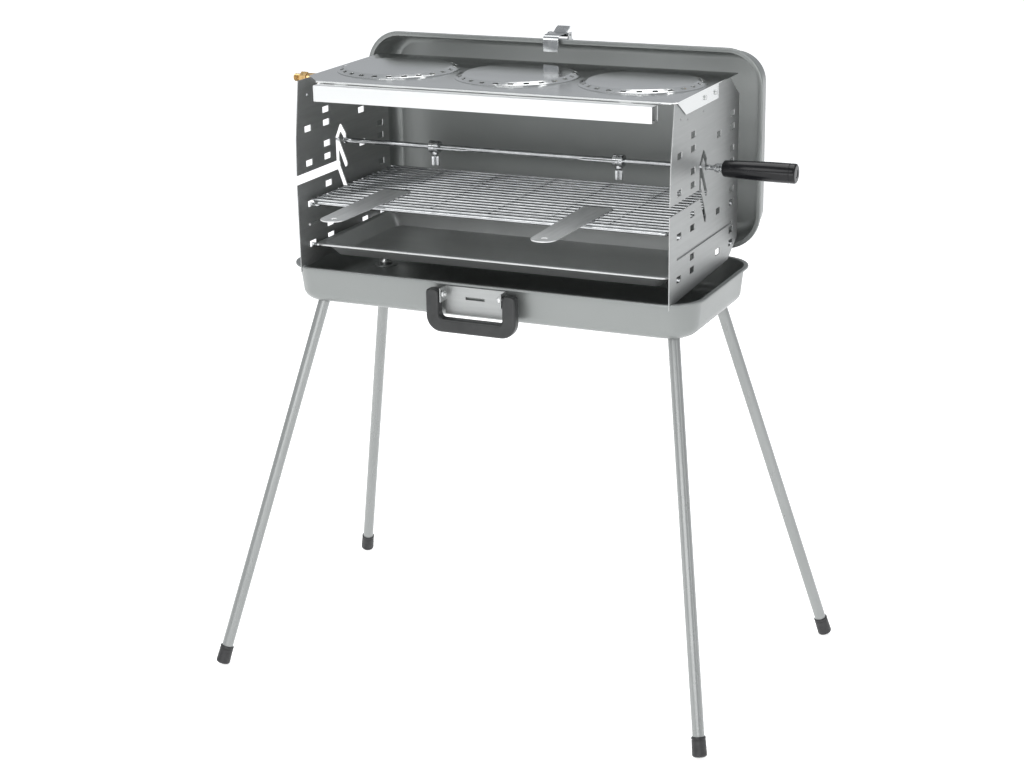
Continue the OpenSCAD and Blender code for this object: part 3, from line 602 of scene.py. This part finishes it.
# ---------------------------------------------------------------- wire rails
# Plated steel wire, bent at both ends to hook into the plates' holes. One pair carries the tray, one the
# grate.
def rounded_path(points, radius, steps=6):
    """The same path with each corner swept round in an arc-like curve."""
    path = [Vector(points[0])]
    for before, corner, after in zip(points, points[1:], points[2:]):
        corner = Vector(corner)
        start = corner + (Vector(before) - corner).normalized() * radius
        end = corner + (Vector(after) - corner).normalized() * radius
        for i in range(steps + 1):
            t = i / steps
            path.append(start * (1 - t) ** 2 + corner * 2 * t * (1 - t) + end * t ** 2)
    return path + [Vector(points[-1])]


def wire(path, radius, sides=12, end_round=0.35):
    """Round wire along a path, its cut ends slightly rounded."""
    path = [Vector(p) for p in path]
    ahead = (path[1] - path[0]).normalized()
    across = ahead.orthogonal().normalized()
    rings = []
    stations = [(path[0], ahead, radius * (1 - end_round))]
    for i, point in enumerate(path):
        tangent = (path[min(i + 1, len(path) - 1)] - path[max(i - 1, 0)]).normalized()
        place = point
        if i == 0:
            place = point + tangent * radius * end_round
        if i == len(path) - 1:
            place = point - tangent * radius * end_round
        stations.append((place, tangent, radius))
    stations.append((path[-1], stations[-1][1], radius * (1 - end_round)))
    for place, tangent, size in stations:
        across = (across - tangent * across.dot(tangent)).normalized()
        other = tangent.cross(across)
        rings.append([place + (across * math.cos(a) + other * math.sin(a)) * size
                      for a in (2 * math.pi * k / sides for k in range(sides))])
    return loft(rings)


RAIL_RADIUS = 0.00245
for row in ("grate", "tray"):
    for side, sign in (("left", -1), ("right", 1)):
        node = f"{row}_rail_{side}"
        low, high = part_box(node)
        height = (low.z + high.z) / 2
        outer_x, inner_x = (low.x, high.x - RAIL_RADIUS) if sign < 0 else (high.x, low.x + RAIL_RADIUS)
        front, rear = low.y + RAIL_RADIUS, high.y - RAIL_RADIUS
        corners = [(outer_x, front, height), (inner_x, front, height), (inner_x, rear, height),
                   (outer_x, rear, height)]
        add_piece(node + "_wire", wire(rounded_path(corners, 0.004), RAIL_RADIUS, 16), "rack",
                  chrome, [node])

# ---------------------------------------------------------------- drip tray
# Shallow pressed tray with long sloping sides and a flat rim, hemmed downwards along its edge. Satin grey
# sheet, streaked along its length by the rolls, with a faint bloom of old heat.
tray_steel = new_finish("satin_tray_sheet", (0.56, 0.57, 0.565), metallic=0.85, roughness=0.36)
tint(tray_steel, pattern(tray_steel, "Noise", 9.0, (0.25, 1, 1), Detail=5.0), (0.25, (0.52, 0.53, 0.525)),
     (0.75, (0.62, 0.63, 0.625)))
roughen(tray_steel, pattern(tray_steel, "Noise", 40.0, (0.1, 1, 1), Detail=5.0), 0.26, 0.42)
relief(tray_steel, pattern(tray_steel, "Noise", 160.0, (0.05, 1, 1), Detail=3.0), 0.00005, 0.3)
relief(tray_steel, pattern(tray_steel, "Noise", 8.0, Detail=1.0), 0.0005, 0.2)

tray_low, tray_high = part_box("drip_tray")
tray_middle = (tray_low + tray_high) / 2
tray_half = (tray_high - tray_low) / 2
TRAY_RIM = 0.007
TRAY_SLOPE = 0.014
TRAY_SHEET = 0.001
tray_top, tray_floor = tray_high.z, tray_low.z
tray_profile = [(TRAY_RIM + TRAY_SLOPE + 0.004, tray_floor), (TRAY_RIM + TRAY_SLOPE, tray_floor + 0.0006),
                (TRAY_RIM + 0.0016, tray_top - 0.0022), (TRAY_RIM, tray_top - TRAY_SHEET),
                (0.0016, tray_top - TRAY_SHEET), (0.0012, tray_top - 0.0014), (0.0012, tray_top - 0.0024),
                (0.0004, tray_top - 0.0026), (0, tray_top - 0.0020), (0, tray_top - 0.0008),
                (0.0007, tray_top),
                (TRAY_RIM + 0.0003, tray_top), (TRAY_RIM + 0.0024, tray_top - 0.0012),
                (TRAY_RIM + TRAY_SLOPE + 0.0006, tray_floor + TRAY_SHEET + 0.0008),
                (TRAY_RIM + TRAY_SLOPE + 0.0046, tray_floor + TRAY_SHEET)]
tray_rings = [[(tray_middle.x + x, tray_middle.y + y, z)
               for x, y in outline(tray_half.x - inset, tray_half.y - inset, 0.012 - 0.2 * inset, 8)]
              for inset, z in tray_profile]
add_piece("drip_tray_pressed", loft(tray_rings), "drip_tray", tray_steel, ["drip_tray"])

# ---------------------------------------------------------------- grate
# A bent wire frame with five cross wires, and long wires resistance-welded on top of them; each weld
# leaves a small flattened bead. Two flat steel tongues with a round end and a hole are clipped over it to
# lift it by.
frame_low, frame_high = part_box("grate_frame")
bars_low, bars_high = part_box("grate_bars")
FRAME_WIRE = (frame_high.z - frame_low.z) / 2
BAR_WIRE = (bars_high.z - bars_low.z) / 2
CROSS_WIRE = FRAME_WIRE - 0.0007
frame_z = (frame_low.z + frame_high.z) / 2
bars_z = (bars_low.z + bars_high.z) / 2
left, right = frame_low.x + FRAME_WIRE, frame_high.x - FRAME_WIRE
front, rear = frame_low.y + FRAME_WIRE, frame_high.y - FRAME_WIRE
frame_path = rounded_path([(0, front, frame_z), (right, front, frame_z), (right, rear, frame_z),
                           (left, rear, frame_z),
                           (left, front, frame_z), (0, front, frame_z)], 0.008, 8)
cross_places = [right * k / 3 for k in (-2, -1, 0, 1, 2)]
cross_wires = [wire([(x, front, frame_z), (x, rear, frame_z)], CROSS_WIRE, 14) for x in cross_places]
add_piece("grate_frame_wire", joined(wire(frame_path, FRAME_WIRE, 16, end_round=0), *cross_wires),
          "grate",
          chrome, ["grate_frame"])

BAR_COUNT = 17
bar_places = [front + (rear - front) * i / (BAR_COUNT - 1) for i in range(BAR_COUNT)]
bars = [wire([(bars_low.x, y, bars_z), (bars_high.x, y, bars_z)], BAR_WIRE, 12) for y in bar_places]
WELD_PROFILE = [(-0.0012, 0), (-0.0010, 0.0011), (0, 0.0019), (0.0010, 0.0011), (0.0012, 0)]
welds = [lathe(WELD_PROFILE, Matrix.Translation((x, y, frame_z + CROSS_WIRE)), 8)
         for x in cross_places for y in bar_places]
add_piece("grate_long_wires", joined(*bars, *welds), "grate", chrome, ["grate_bars"])

tongue_steel = new_finish("satin_tongue_steel", (0.66, 0.67, 0.67), metallic=0.6, roughness=0.4)
tint(tongue_steel, pattern(tongue_steel, "Noise", 30.0, (6, 0.6, 1), Detail=5.0),
     (0.3, (0.6, 0.61, 0.61)),
     (0.7, (0.72, 0.73, 0.73)))
roughen(tongue_steel, pattern(tongue_steel, "Noise", 60.0, (8, 0.5, 1), Detail=4.0), 0.34, 0.46)
relief(tongue_steel, pattern(tongue_steel, "Noise", 120.0, (10, 0.4, 1), Detail=3.0), 0.00005, 0.4)
for side in ("left", "right"):
    eased("lifting_tongue_" + side, "grate_handle_" + side, 0.0003, "grate", tongue_steel)

# ---------------------------------------------------------------- spit
# A plated steel rod with a tapered point, driven into a black moulded handle behind a bright ferrule.
spit_axis = Vector(next(j for j in frame["joints"] if j["name"] == "spit_turn")["pos_m"])


def along_spit(x):
    return placed((x, spit_axis.y, spit_axis.z), (1, 0, 0))


rod_low, rod_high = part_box("spit_rod")
ROD_RADIUS = (rod_high.z - rod_low.z) / 2
rod_length = rod_high.x - rod_low.x
rod_profile = [(0, 0), (0.0001, 0.0005), (0.0014, 0.0011), (0.009, ROD_RADIUS), (rod_length, ROD_RADIUS),
               (rod_length, 0)]
add_piece("spit_rod_pointed", lathe(rod_profile, along_spit(rod_low.x), 32), "spit",
          chrome, ["spit_rod"])

ferrule_low, ferrule_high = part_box("spit_ferrule")
ferrule_length = ferrule_high.x - ferrule_low.x
ferrule_profile = [(0, ROD_RADIUS), (0, 0.0046), (0.0006, 0.0050), (0.0022, 0.0052), (0.0030, 0.0056),
                   (0.0070, 0.0056), (0.0074, 0.0052), (0.0080, 0.0052), (0.0084, 0.0056),
                   (ferrule_length, 0.0056), (ferrule_length, ROD_RADIUS)]
add_piece("spit_ferrule_turned", lathe(ferrule_profile, along_spit(ferrule_low.x), 40, loop=True), "spit",
          chrome, ["spit_ferrule"])

grip_plastic = new_finish("glossy_black_grip", (0.008, 0.008, 0.009), roughness=0.16,
                          Specular_IOR_Level=0.3)
tint(grip_plastic, pattern(grip_plastic, "Noise", 60.0, Detail=3.0), (0.3, (0.004, 0.004, 0.005)),
     (0.8, (0.009, 0.009, 0.010)))
roughen(grip_plastic, pattern(grip_plastic, "Noise", 120.0, Detail=3.0), 0.1, 0.22)
relief(grip_plastic, pattern(grip_plastic, "Noise", 45.0, (0.2, 1, 1), Detail=1.0), 0.0002, 0.25)

grip_low, grip_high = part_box("spit_handle")
grip_radius = (grip_high.z - grip_low.z) / 2
grip_length = grip_high.x - grip_low.x
GRIP_BORE = 0.022
grip_profile = [(0, ROD_RADIUS), (0, 0.0080), (0.0007, 0.0090), (0.0020, 0.0101), (0.0045, 0.0103),
                (0.014, 0.0108),
                (0.060, grip_radius), (grip_length - 0.0085, grip_radius),
                (grip_length - 0.0080, grip_radius - 0.0004),
                (grip_length - 0.0074, grip_radius - 0.0004), (grip_length - 0.0069, grip_radius)]
grip_profile += [(grip_length - 0.0025 + a, grip_radius - 0.0025 + b) for a,
                 b in bend(0, 0, 0.0025, 90, 0, 8)]
grip_profile += [(grip_length, 0.0052), (grip_length - 0.0006, 0.0045), (grip_length - 0.0006, 0),
                 (GRIP_BORE, 0), (GRIP_BORE, ROD_RADIUS)]
add_piece("spit_grip_moulded", lathe(grip_profile, along_spit(grip_low.x), 56, loop=True), "spit",
          grip_plastic, ["spit_handle"])

# ---------------------------------------------------------------- meat forks
# Each fork is a bored steel collar with a boss below for its clamping screw, a cross bar, and two tapered
# prongs. The screws have a knurled head. All of it is plated.
COLLAR_HALF = 0.007
COLLAR_RADIUS = 0.008
PRONG_Y = 0.009
PRONG_TIP = 0.052
SCREW_BORE = 0.00255
HEAD_START = 0.0082
fork_bore = ROD_RADIUS + 0.00005
for side, toward in (("left", 1), ("right", -1)):
    node = "fork_" + side
    screw_low, screw_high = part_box("fork_screw_" + side)
    fork_x = (screw_low.x + screw_high.x) / 2
    collar_profile = [(-COLLAR_HALF, fork_bore), (-COLLAR_HALF, COLLAR_RADIUS - 0.0008),
                      (-COLLAR_HALF + 0.0008, COLLAR_RADIUS), (-0.0018, COLLAR_RADIUS),
                      (-0.0014, COLLAR_RADIUS - 0.0005),
                      (0.0014, COLLAR_RADIUS - 0.0005), (0.0018, COLLAR_RADIUS),
                      (COLLAR_HALF - 0.0008, COLLAR_RADIUS),
                      (COLLAR_HALF, COLLAR_RADIUS - 0.0008), (COLLAR_HALF, fork_bore)]
    collar = lathe(collar_profile, along_spit(fork_x), 40, loop=True)
    boss_profile = [(0.0052, SCREW_BORE), (0.0052, 0.0046), (0.0094, 0.0046), (0.0100, 0.0040),
                    (0.0100, SCREW_BORE)]
    boss = lathe(boss_profile, placed((fork_x, spit_axis.y, spit_axis.z), (0, 0, -1)), 28, loop=True)
    fork_parts = [collar, boss]
    for sign in (-1, 1):
        inner, outer = sign * (fork_bore + 0.002), sign * (PRONG_Y + 0.0017)
        arm_rings = [section((fork_x, spit_axis.y + y, spit_axis.z), (0.002 - trim, 0, 0),
                             (0, 0, 0.0018 - trim), 0.0006, 3)
                     for y, trim in ((inner, 0), (outer - sign * 0.0005, 0), (outer, 0.0005))]
        fork_parts.append(loft(arm_rings))
        prong_profile = [(-0.0019, 0), (-0.0017, 0.0012), (-0.0012, 0.0017), (0.040, 0.0017),
                         (0.047, 0.0012),
                         (PRONG_TIP - 0.0006, 0.0005), (PRONG_TIP, 0)]
        fork_parts.append(lathe(prong_profile,
                                placed((fork_x, spit_axis.y + sign * PRONG_Y, spit_axis.z),
                                       (toward, 0, 0)), 16))
    add_piece(node + "_plated", joined(*fork_parts), node, chrome, [node])

    screw_length = screw_high.z - screw_low.z
    screw_profile = [(0, 0), (0, 0.0018)] + thread(0.0004, HEAD_START - 0.0006, 0.0025, 0.0009, 0.0003)
    screw_profile += [(HEAD_START, 0.0022), (HEAD_START, 0.0042), (HEAD_START + 0.0008, 0.005),
                      (screw_length - 0.0012, 0.005), (screw_length - 0.0002, 0.0041),
                      (screw_length - 0.0002, 0.0026),
                      (screw_length, 0.0020), (screw_length, 0)]
    screw = lathe(screw_profile, placed((fork_x, spit_axis.y, screw_high.z), (0, 0, -1)), 96, flutes=24,
                  flute_depth=0.0005, flute_above=0.0048)
    add_piece("clamp_screw_" + side, screw, "fork_screw_" + side, chrome,
              ["fork_screw_" + side])

# ---------------------------------------------------------------- burner sheet
# The top of the burner unit is one sheet of polished stainless steel, with a flange folded down at each
# end outside the plates and a narrow one along its front. It is very slightly uneven, so reflections swim
# a little.
polished = new_finish("polished_stainless", (0.66, 0.67, 0.665), metallic=1.0, roughness=0.12)
tint(polished, pattern(polished, "Noise", 7.0, (0.6, 1, 1), Detail=3.0), (0.3, (0.62, 0.63, 0.625)),
     (0.7, (0.7, 0.71, 0.705)))
roughen(polished, pattern(polished, "Noise", 40.0, (0.15, 1, 1), Detail=5.0), 0.07, 0.2)
relief(polished, pattern(polished, "Noise", 9.0, Detail=1.0), 0.0006, 0.2)
relief(polished, pattern(polished, "Noise", 220.0, (0.08, 1, 1), Detail=3.0), 0.00003, 0.3)
eased("burner_top_sheet", "burner_sheet", 0.0003, "burner", polished)

# ---------------------------------------------------------------- burner caps
# Three pressed caps of polished stainless steel, each a low, flat disc inside a shallow bevel that is
# pierced with a ring of 24 slots.
CAP_SLOTS = 24
CAP_SHEET = 0.0008


def slotted_cap(low, high):
    """A pressed cap: rings run outwards from the middle, and one band of the bevel is pierced."""
    middle = (low + high) / 2
    foot = (high.x - low.x) / 2
    top, under = high.z, low.z
    rise = top - under - CAP_SHEET
    upper = [(0.0, 0.0), (foot * 0.45, 0.0), (foot - 0.0120, 0.0), (foot - 0.0110, -0.0001),
             (foot - 0.0100, -0.0005)]
    bevel = [(foot - 0.0088, -rise * 0.28), (foot - 0.0042, -rise * 0.76)]
    lower = [(foot - 0.0034, -rise * 0.90), (foot - 0.0024, -rise), (foot, -rise)]
    stations = upper + bevel + lower
    pierced = len(upper)
    per_slot = 8
    steps = CAP_SLOTS * per_slot
    verts, faces = [], []
    for drop in (0.0, CAP_SHEET):
        for radius, height in stations:
            for k in range(steps):
                angle = 2 * math.pi * k / steps
                size = max(radius, 0.0002)
                verts.append(Vector((middle.x + size * math.cos(angle), middle.y + size * math.sin(angle),
                                     top + height - drop)))
    layer_size = len(stations) * steps
    open_cell = {}
    for s in range(len(stations) - 1):
        for k in range(steps):
            open_cell[s, k] = s == pierced and k % per_slot in (0, 1, 2)
    for s in range(len(stations) - 1):
        for k in range(steps):
            if open_cell[s, k]:
                continue
            a, b = s * steps + k, s * steps + (k + 1) % steps
            c, d = (s + 1) * steps + (k + 1) % steps, (s + 1) * steps + k
            faces.append((a, d, c, b))
            faces.append(tuple(layer_size + v for v in (a, b, c, d)))
            for other, edge in (((s - 1, k), (a, b)), ((s + 1, k), (c, d)),
                                ((s, (k - 1) % steps), (d, a)),
                                ((s, (k + 1) % steps), (b, c))):
                if open_cell.get(other, False):
                    p, q = edge
                    faces.append((p, q, layer_size + q, layer_size + p))
    rim = (len(stations) - 1) * steps
    for k in range(steps):
        n = (k + 1) % steps
        faces.append((rim + k, rim + n, layer_size + rim + n, layer_size + rim + k))
    faces.append(tuple(range(steps)))
    faces.append(tuple(layer_size + k for k in range(steps))[::-1])
    return verts, faces


for place in ("left", "middle", "right"):
    node = "burner_cap_" + place
    add_piece("slotted_cap_" + place, slotted_cap(*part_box(node)), "burner", polished,
              [node], crease=30)

# ---------------------------------------------------------------- burner heads, gas pipe and jets
# Under each cap hangs a round burner head with rings of flame ports. A thin-walled pipe feeds all three
# through brass jets, and ends on the left in a brass nipple with a loose union nut for the gas hose.
for place in ("left", "middle", "right"):
    eased("port_head_" + place, "burner_head_" + place, 0.0003, "burner", zinc)

pipe_low, pipe_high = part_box("gas_manifold")
pipe_radius = (pipe_high.z - pipe_low.z) / 2
pipe_y, pipe_z = (pipe_low.y + pipe_high.y) / 2, (pipe_low.z + pipe_high.z) / 2
pipe_length = pipe_high.x - pipe_low.x
pipe_profile = [(0, pipe_radius - 0.001), (0, pipe_radius - 0.0002), (0.0003, pipe_radius),
                (pipe_length - 0.002, pipe_radius), (pipe_length - 0.0006, pipe_radius - 0.0008),
                (pipe_length, pipe_radius - 0.0025), (pipe_length, 0), (pipe_length - 0.0015, 0),
                (pipe_length - 0.002, pipe_radius - 0.001)]
add_piece("gas_pipe", lathe(pipe_profile, placed((pipe_low.x, pipe_y, pipe_z), (1, 0, 0)), 32, loop=True),
          "burner",
          zinc, ["gas_manifold"])

brass = new_finish("turned_brass", (0.78, 0.55, 0.26), metallic=1.0, roughness=0.26)
tint(brass, pattern(brass, "Noise", 150.0, Detail=4.0), (0.25, (0.5, 0.31, 0.12)),
     (0.75, (0.76, 0.54, 0.26)))
roughen(brass, pattern(brass, "Noise", 300.0, (6, 1, 1), Detail=3.0), 0.18, 0.38)
relief(brass, pattern(brass, "Noise", 900.0, (8, 1, 1), Detail=2.0), 0.00004, 0.4)
eased("brass_jets", "injectors", 0.00025, "burner", brass)

nipple_low, nipple_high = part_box("inlet_nipple")
nipple_length = nipple_high.x - nipple_low.x
NIPPLE_RADIUS = 0.005
NECK_RADIUS = 0.0048
SHOULDER_RADIUS = 0.0065
SHOULDER_START = 0.0195
nipple_profile = [(0, 0.002), (0, 0.0040),
                  (0.0006, 0.0046)] + thread(0.0008, 0.0090, NIPPLE_RADIUS, 0.001, 0.00045)
nipple_profile += [(0.0092, NIPPLE_RADIUS), (0.0095, NECK_RADIUS), (SHOULDER_START, NECK_RADIUS),
                   (SHOULDER_START, SHOULDER_RADIUS - 0.0005),
                   (0.0200, SHOULDER_RADIUS), (nipple_length - 0.0005, SHOULDER_RADIUS),
                   (nipple_length, SHOULDER_RADIUS - 0.0005), (nipple_length, 0.002)]
add_piece("brass_nipple", lathe(nipple_profile, placed((nipple_low.x, pipe_y, pipe_z), (1, 0, 0)), 40,
                                loop=True),
          "burner", brass, ["inlet_nipple"])
eased("brass_union_nut", "inlet_nut", 0.0004, "inlet_nut", brass, crease=30)

# ---------------------------------------------------------------- front rail
# A bright satin square tube, open at both ends, runs along the front of the burner unit. Two small spacers
# hold it under the sheet's edge, and three screws hold the end flanges to the plates.
bright_rail = new_finish("bright_satin_rail", (0.7, 0.71, 0.705), metallic=0.7, roughness=0.36)
tint(bright_rail, pattern(bright_rail, "Noise", 12.0, (0.3, 1, 1), Detail=3.0),
     (0.3, (0.68, 0.69, 0.685)),
     (0.7, (0.73, 0.74, 0.735)))
roughen(bright_rail, pattern(bright_rail, "Noise", 60.0, (0.08, 1, 1), Detail=5.0), 0.32, 0.42)
relief(bright_rail, pattern(bright_rail, "Noise", 200.0, (0.05, 1, 1), Detail=3.0), 0.00004, 0.3)
eased("front_rail_folded", "front_rail", 0.0006, "burner", bright_rail, segments=3)
eased("rail_spacer_pair", "rail_spacers", 0.0002, "burner", zinc)
eased("flange_screw_set", "flange_screws", 0.0004, "burner", zinc, segments=3)
